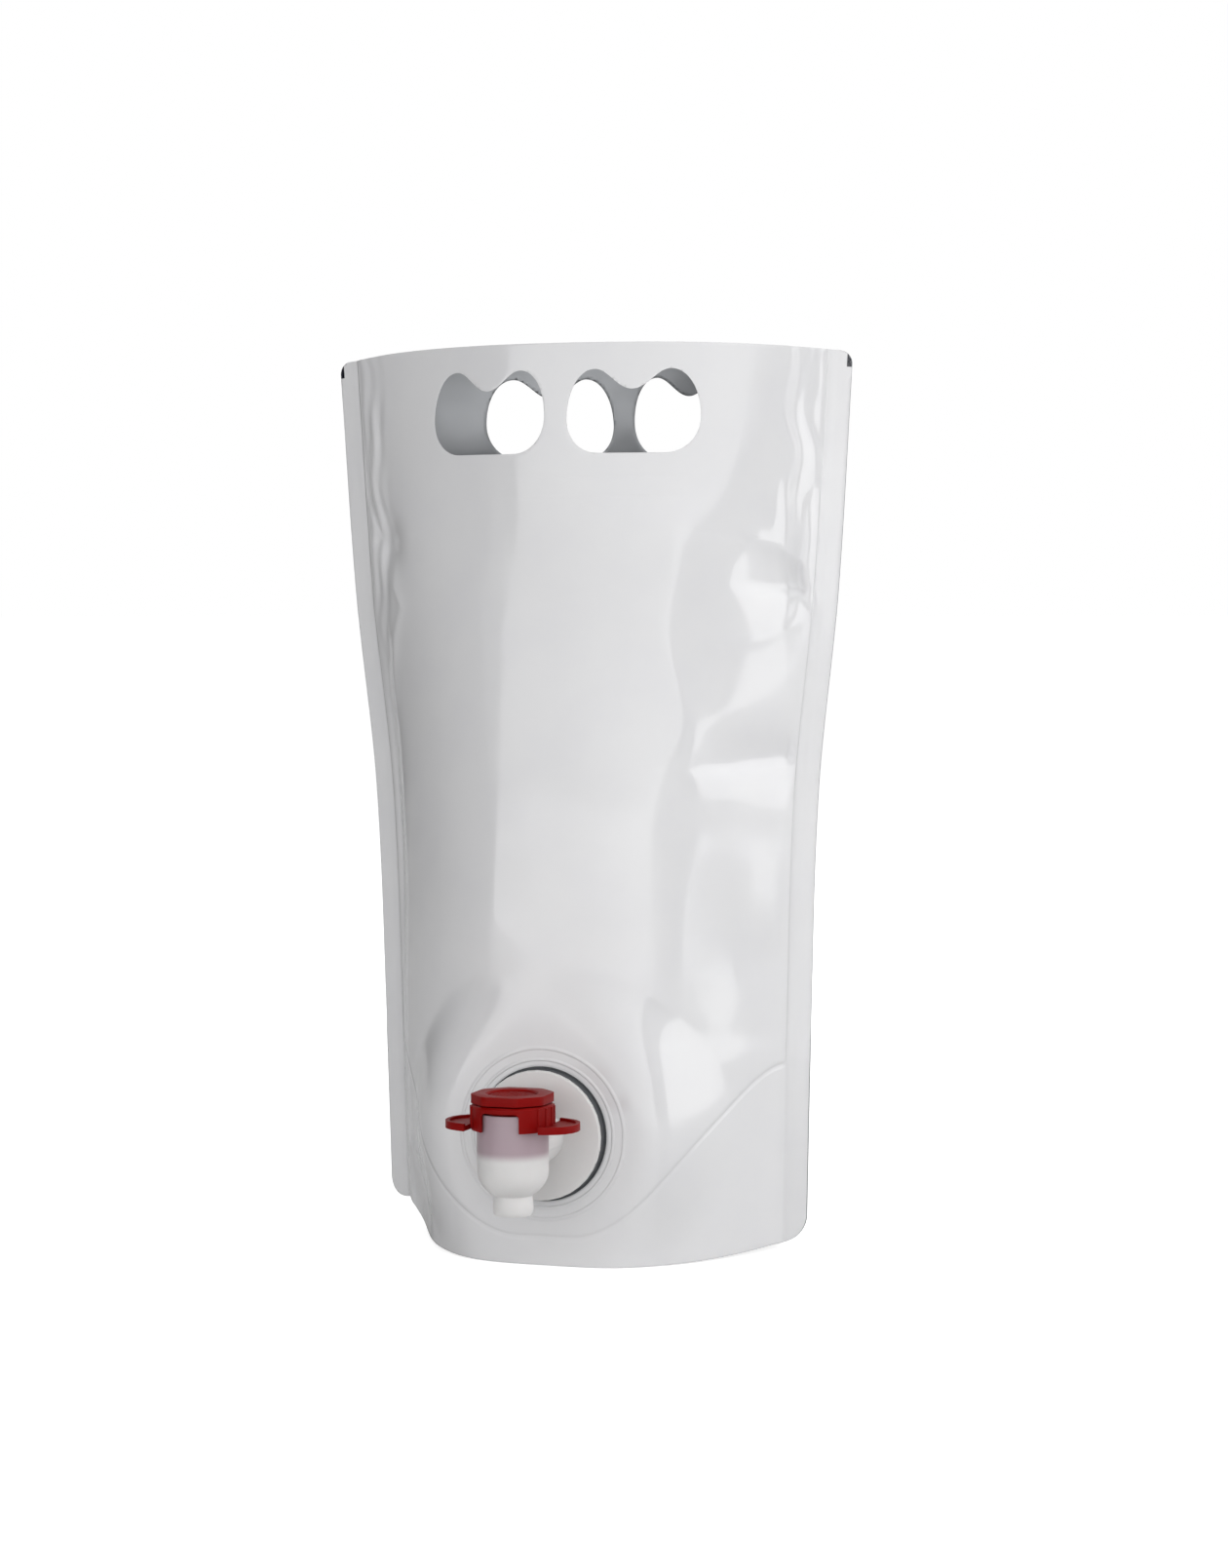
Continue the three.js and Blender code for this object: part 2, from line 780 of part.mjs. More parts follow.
const pouch = new THREE.Group()
place(pouch, 'front_panel', cut(panel(-1), ...holes, glandHole, ...corners), whiteFilm())
place(pouch, 'back_panel', cut(panel(1), ...holes, ...corners), whiteFilm())
place(pouch, 'bottom_gusset', cut(gusset(), ...corners), whiteFilm())

const tap = new THREE.Group()
tap.position.set(0, -glandPlane, glandHeight)
place(tap, 'gland', gland(), finish('#54575b', 0.5))
place(tap, 'tap_body', tapBody(), finish('#d2d0d1', 0.35))
pouch.add(tap)

const valve = new THREE.Group()
valve.position.set(0, -barrelForward, 0)
place(valve, 'wing_collar', wingCollar(), redPlastic())
place(valve, 'bezel_plate', bezelPlate(), redPlastic())
place(valve, 'press_pad', pressPad(), redPlastic())
place(valve, 'valve_sleeve', valveSleeve(), redPlastic())
place(valve, 'valve_stem', valveStem(), finish('#d8d8d6', 0.4))
place(valve, 'valve_plug', valvePlug(), finish('#c9c7c2', 0.6))
place(valve, 'return_spring', returnSpring(), finish('#b9bcc0', 0.25, 1))
tap.add(valve)

// The origin is on the floor, under the middle of everything
const part = new THREE.Group()
part.add(pouch)
const extent = new THREE.Box3().setFromObject(part, true)
const middle = extent.getCenter(new THREE.Vector3())
pouch.position.set(-middle.x, -middle.y, -extent.min.z)

export default part
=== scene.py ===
import json
import math
import bmesh
import bpy
import numpy as np
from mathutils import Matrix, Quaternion, Vector
from mathutils.geometry import delaunay_2d_cdt

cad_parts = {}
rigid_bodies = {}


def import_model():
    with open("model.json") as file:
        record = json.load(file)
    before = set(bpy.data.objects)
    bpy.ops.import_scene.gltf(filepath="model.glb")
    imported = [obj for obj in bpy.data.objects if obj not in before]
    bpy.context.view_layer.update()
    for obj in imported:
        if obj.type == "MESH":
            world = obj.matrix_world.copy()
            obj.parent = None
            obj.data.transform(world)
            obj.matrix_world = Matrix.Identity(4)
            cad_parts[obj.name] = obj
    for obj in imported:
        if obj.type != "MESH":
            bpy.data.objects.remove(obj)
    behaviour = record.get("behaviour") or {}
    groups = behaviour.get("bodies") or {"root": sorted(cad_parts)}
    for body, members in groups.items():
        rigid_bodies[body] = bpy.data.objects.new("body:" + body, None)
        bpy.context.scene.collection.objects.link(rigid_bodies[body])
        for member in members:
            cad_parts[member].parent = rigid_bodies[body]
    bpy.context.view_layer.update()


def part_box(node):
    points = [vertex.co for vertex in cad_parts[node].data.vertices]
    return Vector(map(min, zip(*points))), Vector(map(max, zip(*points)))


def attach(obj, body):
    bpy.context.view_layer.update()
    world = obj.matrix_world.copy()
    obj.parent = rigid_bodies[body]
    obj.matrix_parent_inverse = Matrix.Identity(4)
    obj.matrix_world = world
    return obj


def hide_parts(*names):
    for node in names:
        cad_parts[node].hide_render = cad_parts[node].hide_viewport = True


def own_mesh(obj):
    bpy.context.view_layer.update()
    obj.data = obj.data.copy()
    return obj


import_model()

mm = 0.001

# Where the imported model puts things
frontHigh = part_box("front_panel")[1]
backLow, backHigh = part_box("back_panel")
glandLow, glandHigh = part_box("gland")
padLow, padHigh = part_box("press_pad")
pouchY = (frontHigh.y + backLow.y) / 2
floorZ = min(0.0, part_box("bottom_gusset")[0].z)
glandCentre = Vector((0.0, pouchY, (glandLow.z + glandHigh.z) / 2))
barrelCentre = Vector(((padLow.x + padHigh.x) / 2, (padLow.y + padHigh.y) / 2, glandCentre.z))

camera = {
    "azimuth": 19.0,        # degrees to the right of the pouch's front
    "distance": 1.131,      # from the pouch's axis, metres
    "height": 0.210,
    "pitch": 3.48,          # degrees down
    "aside": 0.0066,        # the pouch's axis lies this far left of the middle
    "lens": 84.3,
    "sensor": 36.0,
    "roll": 0.33,           # degrees
    "near": 0.01,
    "far": 50.0,
}


def makeCamera():
    turn = math.radians(camera["azimuth"])
    back = Vector((math.sin(turn), -math.cos(turn), 0))
    right = Vector((math.cos(turn), math.sin(turn), 0))
    data = bpy.data.cameras.new("camera")
    data.lens, data.sensor_width = camera["lens"], camera["sensor"]
    data.clip_start, data.clip_end = camera["near"], camera["far"]
    obj = bpy.data.objects.new("camera", data)
    bpy.context.collection.objects.link(obj)
    spot = Vector((0, pouchY, 0)) + back * camera["distance"] + right * camera["aside"]
    obj.location = (spot.x, spot.y, camera["height"])
    pitch = math.radians(camera["pitch"])
    look = -back * math.cos(pitch) - Vector((0, 0, math.sin(pitch)))
    obj.rotation_mode = "QUATERNION"
    roll = Quaternion((0, 0, 1), -math.radians(camera["roll"]))
    obj.rotation_quaternion = look.to_track_quat("-Z", "Y") @ roll
    bpy.context.scene.camera = obj


makeCamera()
print("camera placed")

# The film web, in millimetres on the flat film: across from the middle line, up from the bottom
# edge. The openness is the half width between the side edges as a share of the flat one.
web = {
    "flatWidth": 180.0,
    "height": 275.0,
    "thickness": 0.2,
    "sideSeal": 7.0,
    "bottomSeal": 9.0,
    "gussetHeight": 57.0,
    "gussetArch": 12.0,
    "gap": 0.04,            # between the welded plies at the side seals
    "gussetGap": 0.08,
    "looseGap": 0.3,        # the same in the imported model, kept by the free film
    "looseGussetGap": 0.5,
    "looseFade": 9.0,
    "gussetFade": 12.0,     # above the gusset's top, where its ply ends
    "topCorner": 4.0,
    "bottomCorner": 9.0,
    "openAt": (0.0, 0.25, 0.51, 0.73, 1.0),
    "openShare": (0.754, 0.773, 0.802, 0.872, 0.924),
    "squareLow": 2.8,
    "squareHigh": 2.0,
    "liftLeft": 10.5,       # of the bottom corners
    "liftRight": 1.8,
    "liftFrom": 0.87,       # share of the width beyond which the lift grows no more
    "liftLoss": 0.24,       # share of it that is lost from there to the edge
    "liftReach": 0.7,       # share of the gusset's height over which it fades upward
    "turnLeft": 19.0,       # degrees the side seals are bent back
    "turnRight": 25.0,
    "turnOver": 2.0,
    "growLeft": 1.2,        # how much further out the left edge stands
    "topDroop": 2.8,        # of the top corners
    "droopReach": 45.0,
    "flangeRadius": 25.5,
    "flangeSink": 0.5,      # the film round the gland lies this much behind the free bulge
    "flatMargin": 3.0,
    "flatFade": 24.0,
    "filmHole": 20.2,
    "cell": 1.12,           # spacing of the mesh
    "edgeRoom": 0.5,        # shares of it kept free along the outline, and round the holes
    "holeRoom": 0.6,
    "cornerPoints": 14,
}
sealLine = web["flatWidth"] / 2 - web["sideSeal"]
pouchZ = (frontHigh.z + backHigh.z) / 2 - web["height"] * mm
glandUp = (glandCentre.z - pouchZ) / mm

# Hollows pressed into the front panel: across, up, depth, half width, half height
frontDents = (
    (71, 206, 3.0, 9, 11),
    (66, 151, 2.4, 15, 8),
    (56, 92, 3.0, 9, 22),
    (-76, 128, 3.0, 6, 46),
    (-68, 216, 3.0, 7, 8),
    (-62, 4, 6.0, 14, 17),
)

# Folds in the front panel: a path of (across, up), how deep it is, and how far it reaches to
# each side, or to its right and to its left. A negative depth is a raised fold.
frontFolds = {
    "middleRidge": (((-35, 243), (-23, 235), (-20, 226), (-20.5, 214), (-23.5, 198), (-22, 185),
                     (-20, 168), (-17, 144), (-16, 124), (-17, 92), (-19, 74)), -0.55, 7.0),
    "rightRidge": (((42, 232), (38, 219), (37.5, 206), (34, 193), (37.5, 180), (44.5, 162), (47, 149),
                    (46, 128)), -1.9, (14.0, 11.0)),
    "pinch": (((102, 198), (82, 201), (54, 203)), 2.8, (7.0, 1.8)),
    "pinchAbove": (((86, 203), (70, 214), (56, 219)), -1.1, 4.0),
    "pinchBelow": (((86, 195), (66, 187), (47, 184)), -1.1, 4.0),
    "kink": (((102, 149), (74, 150), (42, 147)), 2.8, (6.5, 1.4)),
    "kinkBelow": (((84, 140), (66, 139), (50, 141)), -0.3, 4.0),
    "wedge": (((80, 146), (79.5, 120), (77, 88)), -2.2, (8.0, 1.5)),
    "leftHook": (((-82, 232), (-73, 218), (-82, 213)), 0.9, 1.8),
    "leftCrease": (((-65, 214), (-65.5, 202), (-61.5, 196), (-67.5, 187), (-70, 175),
                    (-70, 157)), -0.8, 2.4),
    "leftShort": (((-84, 250), (-77, 236), (-78, 226)), -0.7, 2.2),
    "cornerFold": (((-48, 0), (-55, 12), (-70, 26)), 1.6, 4.0),
}

backShift = (40, 25)        # the back panel's waves are the front's, moved across and up

# How hollows, folds and crinkles end
foldShape = {
    "crest": 0.14,              # roundness of a fold's crest, as a share of its reach
    "start": (-0.02, 0.2),      # shares of the path over which it fades in and out
    "end": (0.75, 1.02),
    "bulge": 6.0,               # folds are whole from this bulge on
    "dentShare": 0.6,           # a hollow takes at most this share of the bulge
    "crinkleShare": 0.3,        # and a crinkle this one
}
crinkles = {
    "fine": 0.4,
    "broad": 0.5,
    "acrossStart": (64, 76),
    "acrossEnd": (82, 87),
    "upStart": (175, 212),
    "upEnd": (255, 270),
    "endLoss": 0.6,
    "waveFade": 12.0,           # the handling waves end this far from the side seals
}


def smooth(value, low, high):
    share = np.clip((value - low) / (high - low), 0, 1)
    return share * share * (3 - 2 * share)


# Half the distance between the side edges at a height: a cubic run through the openness points
def seamHalfWidth(up):
    at, share = np.array(web["openAt"]), np.array(web["openShare"])
    before, after = np.maximum(np.arange(len(at)) - 1, 0), np.minimum(np.arange(len(at)) + 1, len(at) - 1)
    slope = (share[after] - share[before]) / (at[after] - at[before])
    where = np.clip(up / web["height"], 0, 1)
    i = np.clip(np.searchsorted(at, where, side="right") - 1, 0, len(at) - 2)
    step = at[i + 1] - at[i]
    t = (where - at[i]) / step
    ease = t * t * (3 - 2 * t)
    leave = step * t * (1 - t) * (slope[i] * (1 - t) - slope[i + 1] * t)
    return (share[i] * (1 - ease) + share[i + 1] * ease + leave) * web["flatWidth"] / 2


tableStep = (1.0, 2.5)      # across and up, between the points of the section table
tableBelow = 2              # rows of it below the bottom edge
curveSamples = 600
halvings = 40


# A panel's section at a height stands out by the bulge, less a share of it that is the distance
# from the middle over the half width, raised to the squareness. The bulge is the one that makes
# the curve as long as its film, found by halving. The table holds x and y at steps along the film.
def sectionTable():
    ups = np.arange(-tableBelow, web["height"] / tableStep[1] + 3) * tableStep[1]
    half = seamHalfWidth(ups) - web["sideSeal"]
    ease = smooth(ups, 0, web["height"])
    square = web["squareLow"] + (web["squareHigh"] - web["squareLow"]) * ease
    share = np.linspace(0, 1, curveSamples)[None, :]
    x = half[:, None] * share
    fall = 1 - share ** square[:, None]
    low, high = np.zeros(len(ups)), np.full(len(ups), sealLine)
    for _ in range(halvings):
        bulge = (low + high) / 2
        run = np.hypot(np.diff(x, axis=1), np.diff(bulge[:, None] * fall, axis=1)).sum(axis=1)
        low, high = np.where(run < sealLine, bulge, low), np.where(run < sealLine, high, bulge)
    y = high[:, None] * fall
    length = np.hypot(np.diff(x, axis=1), np.diff(y, axis=1)).cumsum(axis=1)
    length = np.concatenate([np.zeros((len(ups), 1)), length], axis=1)
    along = np.arange(0, sealLine + 0.5 * tableStep[0], tableStep[0])
    right = np.array([np.interp(along, length[i], x[i]) for i in range(len(ups))])
    out = np.array([np.interp(along, length[i], y[i]) for i in range(len(ups))])
    endX, endY = 2 * right[:, -1:] - right[:, -2:-1], 2 * out[:, -1:] - out[:, -2:-1]
    right, out = np.concatenate([right, endX], axis=1), np.concatenate([out, endY], axis=1)
    bothX = np.concatenate([-right[:, :0:-1], right], axis=1)
    bothY = np.concatenate([out[:, :0:-1], out], axis=1)
    return bothX, bothY


tableX, tableY = sectionTable()


# A table read between its points with Catmull-Rom weights both ways
def readTable(table, across, up):
    column = across / tableStep[0] + (table.shape[1] - 1) / 2
    row = up / tableStep[1] + tableBelow
    weights, starts = [], []
    for place, size in ((row, table.shape[0]), (column, table.shape[1])):
        start = np.clip(np.floor(place).astype(int), 1, size - 3)
        t = place - start
        weights.append((
            ((2 - t) * t - 1) * t / 2,
            ((3 * t - 5) * t * t + 2) / 2,
            ((4 - 3 * t) * t + 1) * t / 2,
            (t - 1) * t * t / 2,
        ))
        starts.append(start)
    result = 0
    for i in range(4):
        for j in range(4):
            result = result + weights[0][i] * weights[1][j] * table[starts[0] + i - 1, starts[1] + j - 1]
    return result


# Distance from points to a path, the share along it where each is nearest, and whether the point
# lies to the right of the path there
def alongPath(across, up, path):
    path = np.array(path, float)
    run = np.diff(path, axis=0)
    length = np.hypot(run[:, 0], run[:, 1])
    before = np.concatenate([[0], length.cumsum()])
    nearest, share = np.full(np.shape(across), np.inf), np.zeros(np.shape(across))
    rightward = np.zeros(np.shape(across), bool)
    for i in range(len(run)):
        along = (across - path[i, 0]) * run[i, 0] + (up - path[i, 1]) * run[i, 1]
        t = np.clip(along / length[i] ** 2, 0, 1)
        distance = np.hypot(across - path[i, 0] - t * run[i, 0], up - path[i, 1] - t * run[i, 1])
        cross = run[i, 0] * (up - path[i, 1]) - run[i, 1] * (across - path[i, 0])
        closer = distance < nearest
        rightward = np.where(closer, cross < 0, rightward)
        nearest = np.where(closer, distance, nearest)
        share = np.where(closer, (before[i] + t * length[i]) / before[-1], share)
    return nearest, share, rightward


# A fold has a narrow rounded crest and long shoulders, which fall off exponentially over its
# reach, and it fades out at both ends of its path. With two reaches the first one is to the right.
def foldDepth(across, up, fold):
    path, depth, reach = fold
    distance, share, rightward = alongPath(across, up, path)
    reach = np.where(rightward, *reach) if isinstance(reach, tuple) else reach
    soft = foldShape["crest"] * reach
    crest = np.exp(-(np.sqrt(distance ** 2 + soft ** 2) - soft) / reach)
    return depth * crest * smooth(share, *foldShape["start"]) * (1 - smooth(share, *foldShape["end"]))


# Slow waves left in the film by handling: three crossed sines, which end at the side seals
def handlingWaves(across, up):
    waves = (
        0.20 * np.sin(up / 11.0 + 1.3 * np.sin(across / 17.0))
        + 0.16 * np.sin(across / 8.0 + up / 31.0 + 0.7)
        + 0.12 * np.sin((across + up) / 13.0 + 2.1)
    )
    return waves * smooth(sealLine - np.abs(across), 0, crinkles["waveFade"])


# Upright crinkles beside the side seals, near the top: two sines across the film that wander
def sealCrinkles(across, up):
    ripple = np.sin(0.95 * np.abs(across) + 1.6 * np.sin(up / 8.0) + 0.9 * np.sin(up / 3.7 + across / 9.0))
    broad = np.sin(0.42 * np.abs(across) + 1.1 * np.sin(up / 14.0 + across / 30.0) + 0.6)
    away = np.abs(across)
    place = smooth(away, *crinkles["acrossStart"]) * (1 - smooth(away, *crinkles["acrossEnd"]))
    rise = smooth(up, *crinkles["upStart"]) * (1 - crinkles["endLoss"] * smooth(up, *crinkles["upEnd"]))
    return (crinkles["fine"] * ripple + crinkles["broad"] * broad) * place * rise


# How far a panel's outer face stands from the pouch's middle at the side seals, where the plies
# are welded, and in the free film beside them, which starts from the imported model's spacing
def seamStack(across, up):
    top = web["gussetHeight"]
    folded = 1 - smooth(up, top + web["thickness"], top + web["gussetFade"])
    loose = web["looseGap"] / 2 + web["thickness"] + (web["thickness"] + web["looseGussetGap"]) * folded
    welded = web["gap"] / 2 + web["thickness"] + (web["thickness"] + web["gussetGap"]) * folded
    return welded + (loose - welded) * smooth(sealLine - np.abs(across), 0, web["looseFade"])


# How far the bottom corners are lifted, less how far the top ones droop
def cornerLift(across, up):
    lift = np.where(across < 0, web["liftLeft"], web["liftRight"])
    share = np.abs(across) / (web["flatWidth"] / 2)
    droop = web["topDroop"] * share ** 3 * np.exp((up - web["height"]) / web["droopReach"])
    loss = web["liftLoss"] * smooth(share, web["liftFrom"], 1)
    rise = lift * np.minimum(share / web["liftFrom"], 1) ** 3 * (1 - loss)
    return rise * np.exp(-up / (web["gussetHeight"] * web["liftReach"])) - droop


def freeBulge(across, up):
    inside = np.clip(across, -sealLine, sealLine)
    return np.maximum(readTable(tableY, inside, up), 0)


glandBulge = float(freeBulge(np.array(0.0), np.array(glandUp)))
glandPlane = glandBulge + float(seamStack(0, glandUp)) - web["flangeSink"]


# The outer face of a panel as x, y, z in millimetres from the pouch's axis; side is -1 in front.
# Beyond the seal lines the film turns back, and round the gland it is flat.
def panelFace(side, across, up):
    inside = np.clip(across, -sealLine, sealLine)
    flange = across - inside
    turn = np.radians(np.where(flange < 0, web["turnLeft"], web["turnRight"]))
    turn = turn * smooth(np.abs(flange), 0, web["turnOver"])
    grown = web["growLeft"] * smooth(-across, 0, sealLine)
    x = readTable(tableX, inside, up) + flange * np.cos(turn) - grown
    bulge = freeBulge(across, up)
    z = up + cornerLift(across, up)
    out = bulge + seamStack(across, up)
    if side < 0:
        for a, u, depth, wide, tall in frontDents:
            hollow = np.exp(-((across - a) / wide) ** 2 - ((up - u) / tall) ** 2)
            out = out - np.minimum(depth, bulge * foldShape["dentShare"]) * hollow
        for fold in frontFolds.values():
            out = out - foldDepth(across, up, fold) * smooth(bulge, 0, foldShape["bulge"])
        waves, crinkled = handlingWaves(across, up), sealCrinkles(across, up)
        out = out + waves + np.maximum(crinkled, -foldShape["crinkleShare"] * bulge)
        distance = np.hypot(x, z - glandUp)
        flat = web["flangeRadius"] + web["flatMargin"]
        ease = smooth(distance, flat, flat + web["flatFade"])
        out = glandPlane * (1 - ease) + out * ease
    else:
        waves = handlingWaves(across + backShift[0], up + backShift[1])
        waves = waves * smooth(sealLine - np.abs(across), 0, crinkles["waveFade"])
        out = out + waves + np.maximum(sealCrinkles(-across, up), -foldShape["crinkleShare"] * bulge)
    return np.stack([x, side * out + np.abs(flange) * np.sin(turn), z], axis=-1)


# The same, some depth behind the outer face, square to it
def panelPoint(side, across, up, depth):
    nearby = 0.5
    right = panelFace(side, across + nearby, up) - panelFace(side, across - nearby, up)
    above = panelFace(side, across, up + nearby) - panelFace(side, across, up - nearby)
    normal = np.cross(right, above)
    normal /= np.linalg.norm(normal, axis=-1, keepdims=True)
    return panelFace(side, across, up) + side * depth * normal


# Where on the flat film the points lie that are seen at x, z from the front, found by mending a
# share of the miss again and again
def flatFromSeen(side, x, z):
    across, up = np.array(x, float), np.array(z, float)
    rounds, mended = 40, 0.8
    for _ in range(rounds):
        seen = panelFace(side, across, up)
        across, up = across + mended * (x - seen[..., 0]), up + mended * (z - seen[..., 2])
    return np.stack([across, up], axis=-1)


# Height of the curved seal between panel and gusset
def sealTop(across):
    rise = web["gussetHeight"] - web["bottomSeal"]
    return web["bottomSeal"] + rise * smooth(np.abs(across) / sealLine, 0.1, 1)


# Points of a cubic Bezier curve, without the last one
def bezier(points, count):
    a, b, c, d = (np.array(point, float) for point in points)
    t = np.linspace(0, 1, count, endpoint=False)[:, None]
    return a * (1 - t) ** 3 + 3 * b * t * (1 - t) ** 2 + 3 * c * t * t * (1 - t) + d * t ** 3


handHole = {
    "width": 39.0,
    "height": 25.0,
    "flat": 19.0,
    "dip": 6.0,
    "belly": 0.43,          # height of the widest place, as a share of the height
    "lobe": 0.57,           # place of a lobe's top, as a share of the half width
    "gap": 7.0,
    "fromTop": 8.0,
    "points": 18,           # to each of its seven curves
}


# A hand hole seen from the front: flat below, round at the ends, two finger lobes above
def handHoleOutline(side):
    half, tall, dip = handHole["width"] / 2, handHole["height"], handHole["dip"]
    flat, belly, lobe = handHole["flat"] / 2, tall * handHole["belly"], half * handHole["lobe"]
    runs = (
        ((-flat, 0), (-flat / 3, 0), (flat / 3, 0), (flat, 0)),
        ((flat, 0), (half * 0.8, 0), (half, belly * 0.45), (half, belly)),
        ((half, belly), (half, tall * 0.75), (half * 0.82, tall), (lobe, tall)),
        ((lobe, tall), (lobe * 0.65, tall), (lobe * 0.4, tall - dip), (0, tall - dip)),
        ((0, tall - dip), (-lobe * 0.4, tall - dip), (-lobe * 0.65, tall), (-lobe, tall)),
        ((-lobe, tall), (-half * 0.82, tall), (-half, tall * 0.75), (-half, belly)),
        ((-half, belly), (-half, belly * 0.45), (-half * 0.8, 0), (-flat, 0)),
    )
    outline = np.concatenate([bezier(run, handHole["points"]) for run in runs])
    shift = side * (handHole["width"] + handHole["gap"]) / 2
    return outline + (shift, web["height"] - handHole["fromTop"] - tall)


# The outline of the flat web: a rectangle with four rounded corners, anticlockwise
def webOutline():
    half, tall = web["flatWidth"] / 2, web["height"]
    low, high = web["bottomCorner"], web["topCorner"]
    corners = (
        (half - low, low, low, -90), (half - high, tall - high, high, 0),
        (-half + high, tall - high, high, 90), (-half + low, low, low, 180),
    )
    arcs = []
    for x, z, radius, start in corners:
        angle = np.radians(start + np.linspace(0, 90, web["cornerPoints"]))
        arcs.append(np.stack([x + radius * np.cos(angle), z + radius * np.sin(angle)], axis=-1))
    loop = np.concatenate(arcs)
    spaced = []
    for a, b in zip(loop, np.roll(loop, -1, axis=0)):
        count = max(1, int(np.linalg.norm(b - a) / web["cell"]))
        spaced.append(a + (b - a) * (np.arange(count) / count)[:, None])
    return np.concatenate(spaced)


# Which points lie inside a closed loop, by counting the edges that a ray to the right crosses
def insideLoop(points, loop):
    inside = np.zeros(len(points), bool)
    for (x0, z0), (x1, z1) in zip(loop, np.roll(loop, -1, axis=0)):
        if z0 == z1:
            continue
        crosses = (points[:, 1] < z0) != (points[:, 1] < z1)
        inside ^= crosses & (points[:, 0] < x0 + (points[:, 1] - z0) * (x1 - x0) / (z1 - z0))
    return inside


# The distance of points from the nearest point of a loop
def loopDistance(points, loop):
    best = np.full(len(points), np.inf)
    for point in loop:
        best = np.minimum(best, np.hypot(points[:, 0] - point[0], points[:, 1] - point[1]))
    return best


def newObject(name, points, faces):
    mesh = bpy.data.meshes.new(name)
    mesh.from_pydata(np.asarray(points).tolist(), [], faces)
    mesh.update()
    mesh.polygons.foreach_set("use_smooth", np.ones(len(mesh.polygons), bool))
    obj = bpy.data.objects.new(name, mesh)
    bpy.context.collection.objects.link(obj)
    return obj


# Millimetres from the pouch's axis to metres in the frame
def toFrame(points):
    return points * mm + np.array((0.0, pouchY, pouchZ))


def addValue(obj, name, values):
    layer = obj.data.attributes.new(name, "FLOAT", "POINT")
    layer.data.foreach_set("value", np.asarray(values, np.float32))


mapUnit = 100       # millimetres of flat film to a unit of the flat map
farAway = 99        # a distance at which no seal or flange shows


def addFlatMap(obj, flat):
    layer = obj.data.uv_layers.new(name="flatFilm")
    corner = np.empty(len(obj.data.loops), np.int32)
    obj.data.loops.foreach_get("vertex_index", corner)
    layer.data.foreach_set("uv", (flat[corner] / mapUnit).astype(np.float32).ravel())


glandRings = {
    "from": 0.6,            # beyond the film hole's edge
    "to": 2.6,              # beyond the flange's edge, with room round it
    "room": 3.2,
    "step": 0.5,
    "turn": 3.0,            # degrees
}


# A trimmed web: a grid with rings round the gland hole, cut to its outline and holes
def trimmedWeb(name, side, holes, rings):
    outline = webOutline()
    cell = web["cell"]
    a = np.arange(-web["flatWidth"] / 2 + cell / 2, web["flatWidth"] / 2, cell)
    u = np.arange(cell / 2, web["height"], cell)
    grid = np.stack(np.meshgrid(a, u), axis=-1).reshape(-1, 2)
    loops = [outline, *holes]
    keep = insideLoop(grid, outline) & (loopDistance(grid, outline) > cell * web["edgeRoom"])
    for hole in holes:
        keep &= ~insideLoop(grid, hole) & (loopDistance(grid, hole) > cell * web["holeRoom"])
    if len(rings):
        seen = panelFace(side, grid[:, 0], grid[:, 1])
        ringReach = web["flangeRadius"] + glandRings["room"]
        keep &= np.hypot(seen[:, 0], seen[:, 2] - glandUp) > ringReach
    points = np.concatenate([grid[keep], *([rings] if len(rings) else []), *loops])
    edges, start = [], len(points) - sum(len(loop) for loop in loops)
    for loop in loops:
        index = start + np.arange(len(loop))
        edges += np.stack([index, np.roll(index, -1)], axis=-1).tolist()
        start += len(loop)
    flat, _, faces, _, _, _ = delaunay_2d_cdt([Vector(p) for p in points.tolist()], edges, [], 0, 1e-5)
    flat = np.array([(p.x, p.y) for p in flat])
    faces = np.array(faces)
    middle = flat[faces].mean(axis=1)
    kept = insideLoop(middle, outline)
    for hole in holes:
        kept &= ~insideLoop(middle, hole)
    faces = faces[kept]
    used, faces = np.unique(faces, return_inverse=True)
    faces = faces.reshape(-1, 3)
    flat = flat[used]
    if side > 0:
        faces = faces[:, ::-1]
    shape = panelPoint(side, flat[:, 0], flat[:, 1], 0)
    obj = newObject(name, toFrame(shape), faces.tolist())
    addFlatMap(obj, flat)
    addValue(obj, "sealEdge", sealLine - np.abs(flat[:, 0]))
    addValue(obj, "overSeal", flat[:, 1] - sealTop(flat[:, 0]))
    fromAxis = np.hypot(shape[:, 0], shape[:, 2] - glandUp)
    addValue(obj, "flangeDistance", fromAxis if side < 0 else np.full(len(flat), farAway))
    addThickness(obj)
    return obj


# The second material is for the far face and the cut edges
def addThickness(obj):
    solid = obj.modifiers.new("thickness", "SOLIDIFY")
    solid.thickness = web["thickness"] * mm
    solid.offset = -1
    solid.material_offset = 1
    solid.material_offset_rim = 1
    crisp = obj.modifiers.new("crispRim", "WEIGHTED_NORMAL")
    crisp.weight = 100


def frontPanel():
    holes = [handHoleOutline(-1), handHoleOutline(1)]
    holes = [flatFromSeen(-1, hole[:, 0], hole[:, 1]) for hole in holes]
    angle = np.radians(np.arange(0, 360, glandRings["turn"]))
    ring = np.stack([np.cos(angle), np.sin(angle)], axis=-1)
    centre = np.array((0.0, glandUp))
    first, last = web["filmHole"] + glandRings["from"], web["flangeRadius"] + glandRings["to"]
    radii = np.arange(first, last, glandRings["step"])
    seen = np.concatenate([centre + ring * radius for radius in radii])
    holeSeen = centre + ring * web["filmHole"]
    holes.append(flatFromSeen(-1, holeSeen[:, 0], holeSeen[:, 1]))
    return trimmedWeb("filmFront", -1, holes, flatFromSeen(-1, seen[:, 0], seen[:, 1]))


